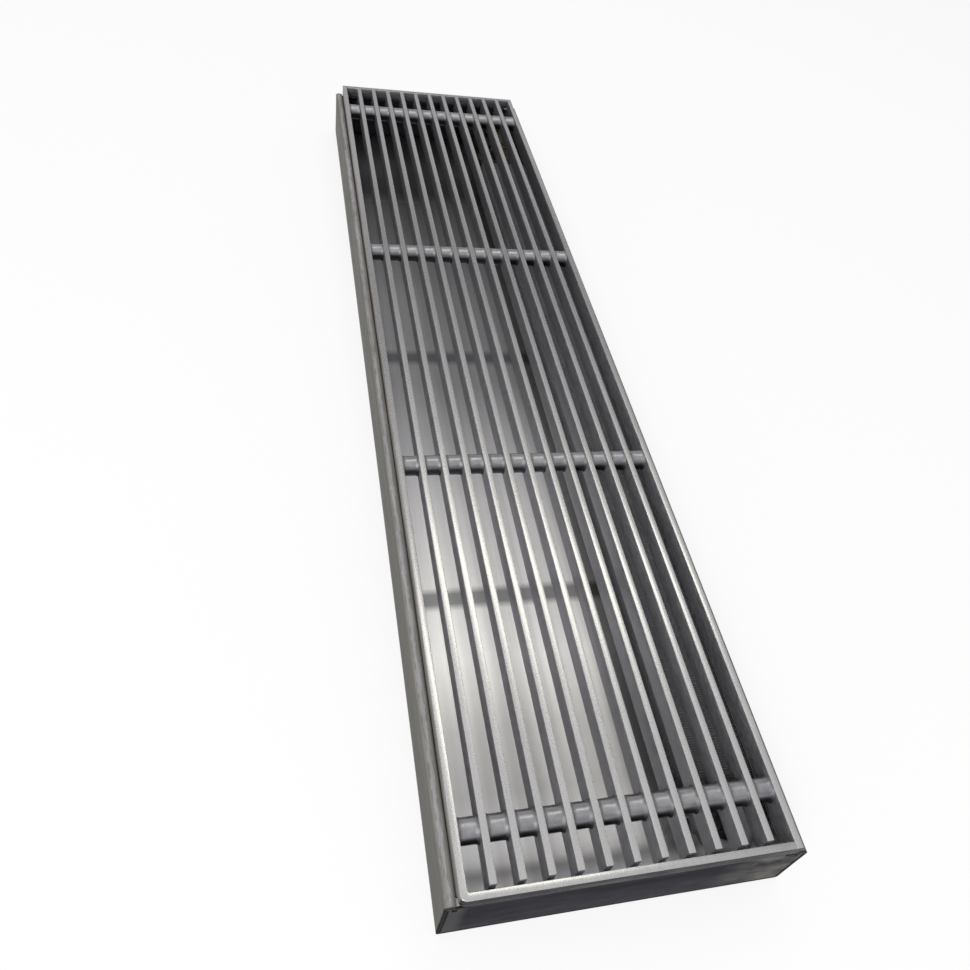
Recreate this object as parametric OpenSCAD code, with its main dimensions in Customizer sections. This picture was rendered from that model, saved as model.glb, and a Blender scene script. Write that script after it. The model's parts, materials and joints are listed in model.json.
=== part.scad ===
// Trench convector: a shallow steel tray for a slot in the floor, with a bar grate
// that lifts off and a finned tube coil along its right-hand side.
// Origin: centre of the underside. X runs across the tray and Y along it. The coil's
// return bend is at the -Y end, its valves and pipe ports are at the +Y end.

/* [Grate] */
// Length of the grate and of the tray
grate_l = 1030; // [800:10:1600]
// Number of inner bars
bar_count = 11; // [10:1:15]
// Thickness of every flat bar
bar_t = 5; // [4:0.5:7]
// Height of the inner bars and of the side bars
bar_h = 18; // [18:0.5:19]
// Clear gap between two bars
bar_gap = 13.75; // [12.5:0.25:17]
// Gap between the inner bars and the near frame bar
bar_end_gap = 2.6; // [2.6:0.1:6]
// Outer radius of the bent frame corner
bend_out_r = 4.5; // [2:0.5:6]
// Inner radius of the bent frame corner
bend_in_r = 1.5; // [0.5:0.5:3]

/* [Rod rows] */
// Number of rod rows
row_count = 4; // [3:1:6]
// Centre of the first row, from the near end
row_inset_near = 44; // [25:1:80]
// Centre of the last row, from the far end
row_inset_far = 52; // [25:1:80]
// Outer diameter of the round spacers
spacer_d = 17.2; // [12:0.1:17.4]
// Diameter of the tie rods
tie_rod_d = 8; // [5:0.5:10]
// Leg of the weld fillets at the spacers' ends
weld_leg = 1.6; // [0.8:0.1:2.5]
// Bar thickness left outside a tie rod's end
tie_rod_cover = 2; // [1:0.25:3]

/* [Tray] */
// Height of the rims over the underside
tray_h = 54; // [46:1:90]
// Height of the grate's top over the rims
grate_proud = 11; // [9:0.5:11.5]
// Thickness of the tray's sheet
sheet_t = 2; // [1:0.25:2.5]
// Outer radius of the tray's folds
fold_r = 2.5; // [2.5:0.25:3.25]
// Width of a rim
rim_w = 7; // [6.75:0.25:12]
// Height of the lip inside a rim
lip_h = 7; // [4:0.5:8]
// Clearance between the grate and the lips
grate_clear = 1.5; // [0.5:0.25:3]

/* [End plates] */
// Thickness of the end plates
plate_t = 2; // [1:0.25:2.25]
// Width of the folded top that carries the grate
plate_flange_w = 7; // [5.5:0.25:7]
// Outer radius of that fold
plate_fold_r = 2.25; // [2.25:0.25:3]
// Length of the relief notch at each end of the fold, along the grate
relief_l = 8; // [6:0.5:12]
// Depth of the relief notch
relief_h = 2.5; // [2.5:0.25:4]

/* [Ledges] */
// Thickness of the ledge angles
ledge_t = 2; // [1:0.25:2.25]
// Height of a ledge's upright leg
ledge_leg = 14; // [8:1:18]
// Distance from a ledge's end to the end plate
ledge_end_gap = 10; // [8:1:30]
// Thickness of the rubber strips
strip_t = 2; // [1:0.25:2.25]

/* [Coil] */
// Width of a fin
fin_w = 56; // [50:1:62]
// Height of a fin
fin_h = 34; // [28:1:37]
// Thickness of a fin
fin_t = 0.5; // [0.3:0.1:1]
// Distance from one fin to the next
fin_pitch = 8; // [5:0.5:16]
// Outer diameter of the tubes
tube_d = 12; // [10:0.5:13]
// Wall of the tubes
tube_wall = 1; // [0.6:0.1:1.5]
// Distance between the two tubes
tube_gap = 32; // [31:0.5:34]
// Distance from the coil to the tray's right wall
coil_wall_gap = 9.5; // [8:0.5:16]

/* [Brackets] */
// Thickness of the brackets
bracket_t = 1.5; // [1:0.25:2]
// Length of a bracket's foot
foot_l = 14; // [12:1:18]
// Distance between a bracket's two studs
stud_gap = 36; // [20:1:40]
// Diameter of the studs
stud_d = 4; // [3:0.5:5]
// Length of the studs
stud_l = 7; // [6:0.5:9]
// Width of the nuts over their flats
nut_af = 7; // [6.5:0.5:8]
// Height of the nuts
nut_h = 3.2; // [2:0.2:4]

/* [Valves] */
// Length of a valve body
valve_l = 87; // [86:1:100]
// Diameter of the valve body's barrel
barrel_d = 18; // [16:0.5:19]
// Bore of a pipe port's thread
port_bore_d = 18.6; // [15:0.1:19]
// Depth of a pipe port's thread
port_depth = 16; // [10:1:18]
// Width of the port hexagon over its flats
port_af = 25; // [24:0.5:28]
// Length of the port hexagon
port_l = 20; // [18:1:24]
// Distance from a port's mouth to the end plate
port_plate_gap = 8; // [6:0.5:14]
// Diameter of the waterway
water_d = 10; // [7:0.5:10]
// Diameter of the neck that holds the bonnet
neck_d = 20; // [16:0.5:22]
// Height of the neck's top over the tube's axis
neck_h = 10; // [9.5:0.5:13]
// Width of the bonnet over its flats
bonnet_af = 17; // [15:0.5:19]
// Height of the bonnet's hexagon
bonnet_h = 3; // [2:0.25:4.5]
// Diameter of the flow valve's stem
stem_d = 5; // [4:0.5:6]
// Diameter of the return valve's spindle
spindle_d = 8; // [7.5:0.5:9]
// Width of the spindle's key socket over its flats
key_af = 4; // [3:0.5:4]
// Depth of the key socket
key_depth = 2.5; // [1.5:0.25:3]
// Diameter of the flow valve's knob
knob_d = 26; // [20:1:30]
// Height of the flow valve's knob
knob_h = 4; // [3:0.25:7]
// Number of grip notches round the knob
knob_notches = 16; // [8:1:24]
// Radius of a grip notch
knob_notch_r = 1.4; // [0.8:0.1:1.8]

/* [Union nuts] */
// Width of the union nuts over their flats
union_af = 21; // [20:0.5:24]
// Length of the union nuts
union_l = 14; // [12:1:16]
// Diameter of the boss inside the union nut
union_boss_d = 16; // [15:0.25:17]
// Depth of the tube in the valve body
tube_seat = 6; // [4:0.5:7]

/* [Air vent] */
// Width of the vent plug over its flats
vent_af = 11; // [10:0.5:13]
// Height of the vent plug's hexagon
vent_h = 4; // [3:0.5:5]
// Diameter of the vent plug's thread
vent_thread_d = 8; // [6.5:0.5:9]
// Diameter of the vent screw
vent_screw_d = 4; // [3:0.5:4.5]
// Diameter of the vent screw's head
vent_head_d = 6; // [5:0.5:8]
// Height of the vent screw's head
vent_head_h = 3; // [2:0.5:4]

/* [Pipe bushes] */
// Bore of the bushes in the far end plate
bush_bore_d = 21; // [19:0.5:22]
// Diameter of a bush where it sits in the plate
bush_neck_d = 24; // [23.5:0.5:26]
// Diameter of a bush's collar
bush_collar_d = 28; // [27:0.5:30]
// Thickness of a bush's collar
bush_collar_t = 1.5; // [1:0.25:3]

/* [Clearances] */
// Radial clearance of everything that sits in a round hole
fit = 0.05; // [0.03:0.01:0.1]
// Clearance where the grate passes the end plates' folded tops
pass_clear = 0.6; // [0.3:0.1:1]
// Gap under the knob
knob_clear = 0.5; // [0.3:0.1:0.75]

/* [Hidden] */
$fn = 48;
// Sides of the round holes in the fins, of which there are hundreds
fin_hole_sides = 24;
// How far a cut runs past the face that it opens
cut = 1;

// Shares of a bar's thickness
ledge_toe_share = 0.1;
strip_share = 0.8;
// Shares of a union nut's length and of a valve neck's diameter and height
union_front_share = 0.45;
neck_step_share = 0.75;
spigot_share = 0.3;
plug_share = 0.2;
// Share of the waterway's diameter
chamber_share = 1.1;
// Shares of the knob's height and of the vent screw's head
knob_bore_share = 0.8;
screw_slot_share = 0.2;
// Shares of the vent plug's width and height
vent_boss_share = 1.2;
vent_step_share = 0.25;
vent_rise_share = 0.25;
// Shares of a tube's diameter
socket_share = 0.8;
bend_room_share = 1.25;
bracket_room_share = 0.6;
union_room_share = 0.5;
// Share of a bracket's thickness
bracket_fold_share = 1.5;

row_names = [for (i = [1:row_count]) str(i)];
bar_names = [for (i = [1:bar_count]) str(i)];

// Colours
bar_colour = [0.74, 0.74, 0.74];
rod_colour = [0.55, 0.54, 0.54];
tray_colour = [0.53, 0.52, 0.51];
plate_colour = [0.26, 0.26, 0.28];
rubber_colour = [0.08, 0.08, 0.08];
coil_colour = [0.10, 0.10, 0.11];
zinc_colour = [0.45, 0.45, 0.46];
brass_colour = [0.62, 0.50, 0.28];
knob_colour = [0.12, 0.12, 0.13];

// Grate
bar_pitch = bar_t + bar_gap;
grate_w = (bar_count + 1) * bar_pitch + bar_t;
grate_z = tray_h + grate_proud;
bar_z = grate_z - bar_h;
side_x = grate_w / 2 - bar_t;
near_y = -grate_l / 2;
far_y = grate_l / 2;
end_notch = plate_flange_w + pass_clear;
row_z = grate_z - bar_h / 2;
row_pitch = (grate_l - row_inset_near - row_inset_far) / (row_count - 1);
tie_rod_l = grate_w - 2 * tie_rod_cover;

// Tray
tray_w = grate_w + 2 * (rim_w + grate_clear);
wall_x = tray_w / 2 - sheet_t;
lip_x = tray_w / 2 - rim_w;
plate_in_y = grate_l / 2 - plate_t;
flange_x = grate_w / 2 - relief_l;
plate_top = tray_h - sheet_t;
ledge_z = bar_z - strip_t;
ledge_l = 2 * (plate_in_y - ledge_end_gap);

// Coil
coil_z = (sheet_t + bar_z) / 2;
coil_x = wall_x - coil_wall_gap - fin_w / 2;
flow_x = coil_x - tube_gap / 2;
return_x = coil_x + tube_gap / 2;
tube_xs = [flow_x, return_x];

// Valves, from the far end plate inwards
port_y = plate_in_y - port_plate_gap;
barrel_y = port_y - port_l;
valve_y = port_y - valve_l;
union_front = union_l * union_front_share;
union_y = valve_y - (union_l - union_front);
neck_y = valve_y + union_front + neck_d * neck_step_share;
chamber_d = water_d * chamber_share;
spigot_h = neck_h * spigot_share;
plug_d = chamber_d - 4 * fit;
plug_h = neck_h * plug_share;
plug_z = coil_z + neck_h - spigot_h - plug_h - fit;
bonnet_z = coil_z + neck_h;
knob_z = bonnet_z + bonnet_h + knob_clear;
vent_y = (neck_y + neck_d / 2 + barrel_y) / 2 + vent_af * vent_step_share;
vent_boss_d = vent_af * vent_boss_share;
vent_boss_h = barrel_d / 2 + vent_h * vent_rise_share;
vent_top_z = coil_z + vent_boss_h + vent_h;

// Brackets, fins and bend, from the union nuts back to the near end
bracket_far_y = union_y - foot_l - tube_d * union_room_share;
bend_r = tube_gap / 2;
socket_wall = tube_wall;
socket_l = tube_d * socket_share;
bend_y = near_y + plate_t + bend_r + tube_d * bend_room_share;
tube_near_y = bend_y + fit;
bracket_near_y = bend_y + socket_l + tube_d * bracket_room_share;
fin_margin = fin_pitch / 2;
fin_from = bracket_near_y + bracket_t + fin_margin;
fin_to = bracket_far_y - bracket_t - fin_margin;
fin_count = floor((fin_to - fin_from) / fin_pitch) + 1;
fin_first = (fin_from + fin_to - (fin_count - 1) * fin_pitch) / 2;
bracket_h = coil_z + fin_h / 2 - sheet_t;

// Places of the inner bars and of the rod rows
function bar_x(i) = -grate_w / 2 + i * bar_pitch;
function row_y(i) = near_y + row_inset_near + (i - 1) * row_pitch;

// Extrudes a shape drawn in X and Z along Y, centred
module along_y(l) {
    rotate([90, 0, 0])
        linear_extrude(l, center = true)
            children();
}

// Extrudes a shape drawn in Y and Z along X, centred
module along_x(l) {
    rotate([90, 0, 90])
        linear_extrude(l, center = true)
            children();
}

// A cylinder along +Y that starts at the origin
module rod_y(d, l) {
    rotate([-90, 0, 0])
        cylinder(d = d, h = l);
}

// A hexagonal prism along Z, with flats across X
module hexagon(af, h) {
    rotate([0, 0, 30])
        cylinder(d = af / cos(30), h = h, $fn = 6);
}

// A hexagonal prism along +Y, with flats across X
module hexagon_y(af, l) {
    rotate([-90, 0, 0])
        hexagon(af, l);
}

// One quarter of a ring round the origin, in the first quadrant
module quarter_ring(r, t) {
    intersection() {
        difference() {
            circle(r = r);
            circle(r = r - t);
        }
        square(r);
    }
}

// Half of the tray's section, on the +X side
module half_tray_section() {
    fold_x = tray_w / 2 - fold_r;
    square([fold_x, sheet_t]);
    translate([fold_x, fold_r])
        mirror([0, 1])
            quarter_ring(fold_r, sheet_t);
    translate([wall_x, fold_r])
        square([sheet_t, tray_h - 2 * fold_r]);
    translate([fold_x, tray_h - fold_r])
        quarter_ring(fold_r, sheet_t);
    translate([lip_x + fold_r, tray_h - sheet_t])
        square([rim_w - 2 * fold_r, sheet_t]);
    translate([lip_x + fold_r, tray_h - fold_r])
        mirror([1, 0])
            quarter_ring(fold_r, sheet_t);
    translate([lip_x, tray_h - lip_h])
        square([sheet_t, lip_h - fold_r]);
}

module tray_pan() {
    color(tray_colour)
        along_y(grate_l)
            union() {
                half_tray_section();
                mirror([1, 0])
                    half_tray_section();
            }
}

// The upright web of an end plate, drawn in X and Z
module plate_web() {
    web_top = tray_h - max(relief_h, plate_fold_r);
    difference() {
        translate([-wall_x, sheet_t])
            square([2 * wall_x, web_top - sheet_t]);
        for (s = [-1, 1])
            translate([s * (lip_x + sheet_t / 2), tray_h - lip_h / 2])
                square([sheet_t, lip_h], center = true);
    }
    for (s = [0, 1])
        mirror([s, 0])
            translate([lip_x + sheet_t, sheet_t])
                square([wall_x - lip_x - sheet_t, plate_top - sheet_t]);
}

// The part of an end plate with the folded top, drawn in Y and Z from its outer face
module plate_fold_section() {
    translate([0, sheet_t])
        square([plate_t, tray_h - plate_fold_r - sheet_t]);
    translate([plate_fold_r, tray_h - plate_fold_r])
        mirror([1, 0])
            quarter_ring(plate_fold_r, plate_t);
    translate([plate_fold_r, tray_h - plate_t])
        square([plate_flange_w - plate_fold_r, plate_t]);
}

// End plate at the near end
module end_plate() {
    translate([0, near_y + plate_t / 2, 0])
        along_y(plate_t)
            plate_web();
    translate([0, near_y, 0])
        along_x(2 * flange_x)
            plate_fold_section();
}

module end_plate_near() {
    color(plate_colour)
        end_plate();
}

module end_plate_far() {
    color(plate_colour)
        difference() {
            mirror([0, 1, 0])
                end_plate();
            for (x = tube_xs)
                translate([x, plate_in_y - cut, coil_z])
                    rod_y(bush_neck_d + 2 * fit, plate_t + 2 * cut);
        }
}

// Ledge on the +X wall, drawn in X and Z
module ledge_section() {
    ledge_x = side_x + bar_t * ledge_toe_share;
    translate([ledge_x, ledge_z - ledge_t])
        square([wall_x - ledge_x, ledge_t]);
    translate([wall_x - ledge_t, ledge_z - ledge_leg])
        square([ledge_t, ledge_leg]);
}

module grate_ledge_right() {
    color(zinc_colour)
        along_y(ledge_l)
            ledge_section();
}

module grate_ledge_left() {
    mirror([1, 0, 0])
        grate_ledge_right();
}

module rest_strip_right() {
    strip_w = bar_t * strip_share;
    color(rubber_colour)
        translate([side_x + bar_t - strip_w, -ledge_l / 2, ledge_z])
            cube([strip_w, ledge_l, strip_t]);
}

module rest_strip_left() {
    mirror([1, 0, 0])
        rest_strip_right();
}

// What the bars leave free over the end plates' folded tops
module end_notches() {
    for (s = [0, 1])
        mirror([0, s, 0])
            translate([-grate_w, grate_l / 2 - end_notch, bar_z - cut])
                cube([2 * grate_w, end_notch + cut, tray_h - bar_z + cut]);
}

// The holes for the tie rods, blind in the side bars
module tie_rod_holes() {
    for (i = [1:row_count])
        translate([-tie_rod_l / 2, row_y(i), row_z])
            rotate([0, 90, 0])
                cylinder(d = tie_rod_d + 2 * fit, h = tie_rod_l);
}

// Side bar and near bar in one, seen from above
module bent_bar_outline() {
    difference() {
        translate([-grate_w / 2, near_y])
            square([grate_w - bar_t, grate_l]);
        translate([bend_in_r - side_x, near_y + bar_t])
            square([grate_w, grate_l]);
        translate([-side_x, near_y + bar_t + bend_in_r])
            square([grate_w, grate_l]);
        translate([bend_in_r - side_x, near_y + bar_t + bend_in_r])
            circle(r = bend_in_r);
        translate([-grate_w / 2, near_y])
            difference() {
                translate([-bend_out_r, -bend_out_r])
                    square(2 * bend_out_r);
                translate([bend_out_r, bend_out_r])
                    circle(r = bend_out_r);
            }
    }
}

module frame_bar_bent() {
    color(bar_colour)
        difference() {
            translate([0, 0, bar_z])
                linear_extrude(bar_h)
                    bent_bar_outline();
            end_notches();
            tie_rod_holes();
        }
}

module frame_bar_right() {
    color(bar_colour)
        difference() {
            translate([side_x, near_y, bar_z])
                cube([bar_t, grate_l, bar_h]);
            end_notches();
            tie_rod_holes();
        }
}

module frame_bar_far() {
    color(bar_colour)
        translate([-side_x, far_y - bar_t, tray_h])
            cube([2 * side_x, bar_t, grate_proud]);
}

// Inner bar i, counted from the left
module grate_bar(i) {
    near_end = near_y + bar_t + bar_end_gap;
    color(bar_colour)
        difference() {
            translate([bar_x(i), near_end, bar_z])
                cube([bar_t, far_y - bar_t - near_end, bar_h]);
            end_notches();
            tie_rod_holes();
        }
}

module tie_rod(i) {
    color(rod_colour)
        translate([fit - tie_rod_l / 2, row_y(i), row_z])
            rotate([0, 90, 0])
                cylinder(d = tie_rod_d, h = tie_rod_l - 2 * fit);
}

// Half of a spacer's section from its middle: radius along x, length along y
module spacer_half_section() {
    fillet_r = spacer_d / 2 + weld_leg;
    difference() {
        translate([tie_rod_d / 2 + fit, 0])
            square([fillet_r - tie_rod_d / 2 - fit, bar_gap / 2]);
        translate([spacer_d / 2, -bar_gap])
            square([weld_leg + cut, bar_gap + bar_gap / 2 - weld_leg]);
        translate([fillet_r, bar_gap / 2 - weld_leg])
            circle(r = weld_leg);
    }
}

// One spacer with the weld fillets that join it to the bars, kept below the bars' tops
module spacer() {
    intersection() {
        rotate([0, 90, 0])
            rotate_extrude()
                union() {
                    spacer_half_section();
                    mirror([0, 1])
                        spacer_half_section();
                }
        cube([bar_gap, bar_h * 2, spacer_d], center = true);
    }
}

module spacer_row(i) {
    color(rod_colour)
        for (k = [0:bar_count])
            translate([bar_x(k) + bar_t + bar_gap / 2, row_y(i), row_z])
                spacer();
}

// One of the coil's straight tubes
module coil_tube(x) {
    tube_far_y = valve_y + tube_seat - fit;
    color(coil_colour)
        translate([x, tube_near_y, coil_z])
            difference() {
                rod_y(tube_d, tube_far_y - tube_near_y);
                translate([0, -cut, 0])
                    rod_y(tube_d - 2 * tube_wall, tube_far_y - tube_near_y + 2 * cut);
            }
}

module flow_tube() {
    coil_tube(flow_x);
}

module return_tube() {
    coil_tube(return_x);
}

// A half ring of round section along the return bend
module bend_ring(d) {
    translate([coil_x, bend_y, coil_z])
        rotate([0, 0, 180])
            rotate_extrude(angle = 180)
                translate([bend_r, 0])
                    circle(d = d);
}

module return_bend() {
    socket_d = tube_d + 2 * (fit + socket_wall);
    socket_base = tube_wall;
    color(coil_colour)
        difference() {
            union() {
                bend_ring(tube_d);
                for (x = tube_xs)
                    translate([x, bend_y - socket_base, coil_z])
                        rod_y(socket_d, socket_base + socket_l);
            }
            bend_ring(tube_d - 2 * tube_wall);
            for (x = tube_xs)
                translate([x, bend_y, coil_z])
                    rod_y(tube_d + 2 * fit, socket_l + cut);
        }
}

module coil_fins() {
    color(coil_colour)
        for (k = [0:fin_count - 1])
            translate([coil_x, fin_first + k * fin_pitch, coil_z])
                along_y(fin_t)
                    difference() {
                        square([fin_w, fin_h], center = true);
                        for (x = tube_xs)
                            translate([x - coil_x, 0])
                                circle(d = tube_d + 2 * fit, $fn = fin_hole_sides);
                    }
}

// A bracket whose foot points to +Y, with its upright at the origin
module coil_bracket() {
    bracket_fold_r = bracket_t * bracket_fold_share;
    color(zinc_colour)
        difference() {
            translate([coil_x, 0, sheet_t])
                along_x(fin_w)
                    union() {
                        translate([0, bracket_fold_r])
                            square([bracket_t, bracket_h - bracket_fold_r]);
                        translate([bracket_fold_r, bracket_fold_r])
                            rotate(180)
                                quarter_ring(bracket_fold_r, bracket_t);
                        translate([bracket_fold_r, 0])
                            square([foot_l - bracket_fold_r, bracket_t]);
                    }
            for (x = tube_xs)
                translate([x, -cut, coil_z])
                    rod_y(tube_d + 2 * fit, bracket_t + 2 * cut);
            for (s = [-1, 1])
                translate([coil_x + s * stud_gap / 2, foot_l / 2 + bracket_t / 2, sheet_t - cut])
                    cylinder(d = stud_d + 4 * fit, h = bracket_t + 2 * cut);
        }
}

module coil_bracket_near() {
    translate([0, bracket_near_y + bracket_t, 0])
        mirror([0, 1, 0])
            coil_bracket();
}

module coil_bracket_far() {
    translate([0, bracket_far_y - bracket_t, 0])
        coil_bracket();
}

// Places of the four studs
module at_studs(z) {
    stud_off = foot_l / 2 + bracket_t / 2;
    for (s = [-1, 1]) {
        translate([coil_x + s * stud_gap / 2, bracket_near_y + bracket_t - stud_off, z])
            children();
        translate([coil_x + s * stud_gap / 2, bracket_far_y - bracket_t + stud_off, z])
            children();
    }
}

module bracket_studs() {
    color(zinc_colour)
        at_studs(sheet_t)
            cylinder(d = stud_d, h = stud_l);
}

module bracket_nuts() {
    color(zinc_colour)
        at_studs(sheet_t + bracket_t)
            difference() {
                hexagon(nut_af, nut_h);
                translate([0, 0, -cut])
                    cylinder(d = stud_d + 2 * fit, h = nut_h + 2 * cut);
            }
}

// Union nut on the tube at x, screwed over the valve body's boss
module union_nut(x) {
    color(brass_colour)
        translate([x, union_y, coil_z])
            difference() {
                hexagon_y(union_af, union_l);
                translate([0, -cut, 0])
                    rod_y(tube_d + 2 * fit, union_l + 2 * cut);
                translate([0, union_l - union_front, 0])
                    rod_y(union_boss_d + 2 * fit, union_front + cut);
            }
}

module flow_union_nut() {
    union_nut(flow_x);
}

module return_union_nut() {
    union_nut(return_x);
}

// Valve body on the tube at x, with its port towards the far end plate
module valve_body(x) {
    translate([x, 0, coil_z])
        difference() {
            union() {
                translate([0, valve_y, 0])
                    rod_y(union_boss_d, union_front + cut);
                translate([0, valve_y + union_front, 0])
                    rod_y(barrel_d, barrel_y - valve_y - union_front + cut);
                translate([0, barrel_y, 0])
                    hexagon_y(port_af, port_l);
                translate([0, neck_y, 0])
                    cylinder(d = neck_d, h = neck_h);
            }
            translate([0, valve_y - cut, 0])
                rod_y(tube_d + 2 * fit, tube_seat + cut);
            translate([0, valve_y, 0])
                rod_y(water_d, valve_l);
            translate([0, port_y - port_depth, 0])
                rod_y(port_bore_d, port_depth + cut);
            translate([0, neck_y, 0])
                cylinder(d = chamber_d, h = neck_h + cut);
        }
}

module flow_valve_body() {
    color(brass_colour)
        difference() {
            union() {
                valve_body(flow_x);
                translate([flow_x, vent_y, coil_z])
                    difference() {
                        cylinder(d = vent_boss_d, h = vent_boss_h);
                        translate([0, -vent_boss_d, 0])
                            rod_y(water_d, 2 * vent_boss_d);
                    }
            }
            translate([flow_x, vent_y, coil_z])
                cylinder(d = vent_thread_d + 2 * fit, h = vent_boss_h + cut);
        }
}

module return_valve_body() {
    color(brass_colour)
        valve_body(return_x);
}

// Bonnet in the neck at x, bored for a stem
module bonnet(x, bore) {
    color(brass_colour)
        translate([x, neck_y, bonnet_z])
            difference() {
                union() {
                    hexagon(bonnet_af, bonnet_h);
                    translate([0, 0, -spigot_h])
                        cylinder(d = chamber_d - 2 * fit, h = spigot_h + bonnet_h / 2);
                }
                translate([0, 0, -spigot_h - cut])
                    cylinder(d = bore + 2 * fit, h = spigot_h + bonnet_h + 2 * cut);
            }
}

module flow_valve_bonnet() {
    bonnet(flow_x, stem_d);
}

module return_valve_bonnet() {
    bonnet(return_x, spindle_d);
}

// Stem with the valve's plug at its foot, drawn open
module stem(x, d, top_z) {
    translate([x, neck_y, plug_z]) {
        cylinder(d = plug_d, h = plug_h);
        cylinder(d = d, h = top_z - plug_z);
    }
}

module flow_valve_stem() {
    color(zinc_colour)
        stem(flow_x, stem_d, knob_z + knob_h * knob_bore_share);
}

module flow_valve_knob() {
    color(knob_colour)
        translate([flow_x, neck_y, knob_z])
            difference() {
                cylinder(d = knob_d, h = knob_h);
                translate([0, 0, -cut])
                    cylinder(d = stem_d + 2 * fit, h = knob_h * knob_bore_share + cut);
                for (k = [1:knob_notches])
                    rotate([0, 0, k * 360 / knob_notches])
                        translate([knob_d / 2 + knob_notch_r / 2, 0, -cut])
                            cylinder(r = knob_notch_r, h = knob_h + 2 * cut);
            }
}

module return_valve_spindle() {
    spindle_top = bonnet_z + bonnet_h + key_depth / 2;
    color(zinc_colour)
        difference() {
            stem(return_x, spindle_d, spindle_top);
            translate([return_x, neck_y, spindle_top - key_depth])
                hexagon(key_af, key_depth + cut);
        }
}

module vent_plug() {
    thread_h = vent_boss_h - water_d / 2;
    color(brass_colour)
        translate([flow_x, vent_y, vent_top_z])
            difference() {
                union() {
                    translate([0, 0, -vent_h])
                        hexagon(vent_af, vent_h);
                    translate([0, 0, -vent_h - thread_h])
                        cylinder(d = vent_thread_d, h = thread_h + vent_h / 2);
                }
                translate([0, 0, -vent_h - thread_h - cut])
                    cylinder(d = vent_screw_d + 2 * fit, h = thread_h + vent_h + 2 * cut);
            }
}

module vent_screw() {
    shank_h = vent_h + vent_boss_h - water_d / 2;
    slot_w = vent_head_d * screw_slot_share;
    color(zinc_colour)
        translate([flow_x, vent_y, vent_top_z])
            difference() {
                union() {
                    translate([0, 0, -shank_h])
                        cylinder(d = vent_screw_d, h = shank_h + vent_head_h / 2);
                    cylinder(d = vent_head_d, h = vent_head_h);
                }
                translate([-vent_head_d, -slot_w / 2, vent_head_h / 2])
                    cube([2 * vent_head_d, slot_w, vent_head_h]);
            }
}

module pipe_bushes() {
    color(rubber_colour)
        for (x = tube_xs)
            translate([x, plate_in_y - bush_collar_t, coil_z])
                difference() {
                    union() {
                        rod_y(bush_neck_d, plate_t + bush_collar_t);
                        rod_y(bush_collar_d, bush_collar_t);
                    }
                    translate([0, -cut, 0])
                        rod_y(bush_bore_d, plate_t + bush_collar_t + 2 * cut);
                }
}

tray_pan();
end_plate_near();
end_plate_far();
grate_ledge_left();
grate_ledge_right();
rest_strip_left();
rest_strip_right();
frame_bar_bent();
frame_bar_right();
frame_bar_far();
for (i = [1:bar_count])
    grate_bar(i);
for (i = [1:row_count])
    tie_rod(i);
for (i = [1:row_count])
    spacer_row(i);
flow_tube();
return_tube();
return_bend();
coil_fins();
coil_bracket_near();
coil_bracket_far();
bracket_studs();
bracket_nuts();
flow_union_nut();
return_union_nut();
flow_valve_body();
return_valve_body();
flow_valve_bonnet();
return_valve_bonnet();
flow_valve_stem();
flow_valve_knob();
return_valve_spindle();
vent_plug();
vent_screw();
pipe_bushes();
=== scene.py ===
# Looks of the trench convector: its steel, its welds and the light it stands in.
import json
import math
import random

import bmesh
import bpy
from mathutils import Euler, Matrix, Vector

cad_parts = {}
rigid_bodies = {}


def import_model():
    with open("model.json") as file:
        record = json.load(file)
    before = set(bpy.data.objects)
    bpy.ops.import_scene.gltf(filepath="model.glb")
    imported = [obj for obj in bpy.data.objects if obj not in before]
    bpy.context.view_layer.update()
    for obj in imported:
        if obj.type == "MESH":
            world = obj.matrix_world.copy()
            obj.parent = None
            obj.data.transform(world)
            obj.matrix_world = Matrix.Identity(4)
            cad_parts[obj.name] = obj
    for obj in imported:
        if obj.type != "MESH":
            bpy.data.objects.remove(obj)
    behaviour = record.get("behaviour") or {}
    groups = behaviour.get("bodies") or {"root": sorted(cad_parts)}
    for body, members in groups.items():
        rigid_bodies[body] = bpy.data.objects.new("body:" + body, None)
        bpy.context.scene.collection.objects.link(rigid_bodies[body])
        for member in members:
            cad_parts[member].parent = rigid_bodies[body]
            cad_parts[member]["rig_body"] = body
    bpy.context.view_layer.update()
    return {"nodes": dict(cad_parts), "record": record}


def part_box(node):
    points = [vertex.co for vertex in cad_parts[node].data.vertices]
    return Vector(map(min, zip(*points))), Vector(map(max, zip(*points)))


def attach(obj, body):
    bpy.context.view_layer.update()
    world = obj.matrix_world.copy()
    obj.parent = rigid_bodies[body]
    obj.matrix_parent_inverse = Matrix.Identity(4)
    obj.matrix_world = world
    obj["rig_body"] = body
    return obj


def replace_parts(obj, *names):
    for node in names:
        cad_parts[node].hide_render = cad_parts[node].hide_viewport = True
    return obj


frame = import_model()
nodes = frame["nodes"]
print("frame loaded,", len(nodes), "nodes")

# Camera: the place and lens that the photo's edges give
cameraValues = {
    "imageSide": 970, "focalPixels": 856.6, "centreRight": 517.1, "centreDown": 499.3, "sensor": 36.0,
    "place": (-0.2036, -0.6498, 0.5999), "turn": (40.792, -9.982, -11.285), "near": 0.01, "far": 60.0,
}


def addObject(name, data):
    obj = bpy.data.objects.new(name, data)
    bpy.context.scene.collection.objects.link(obj)
    return obj


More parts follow.
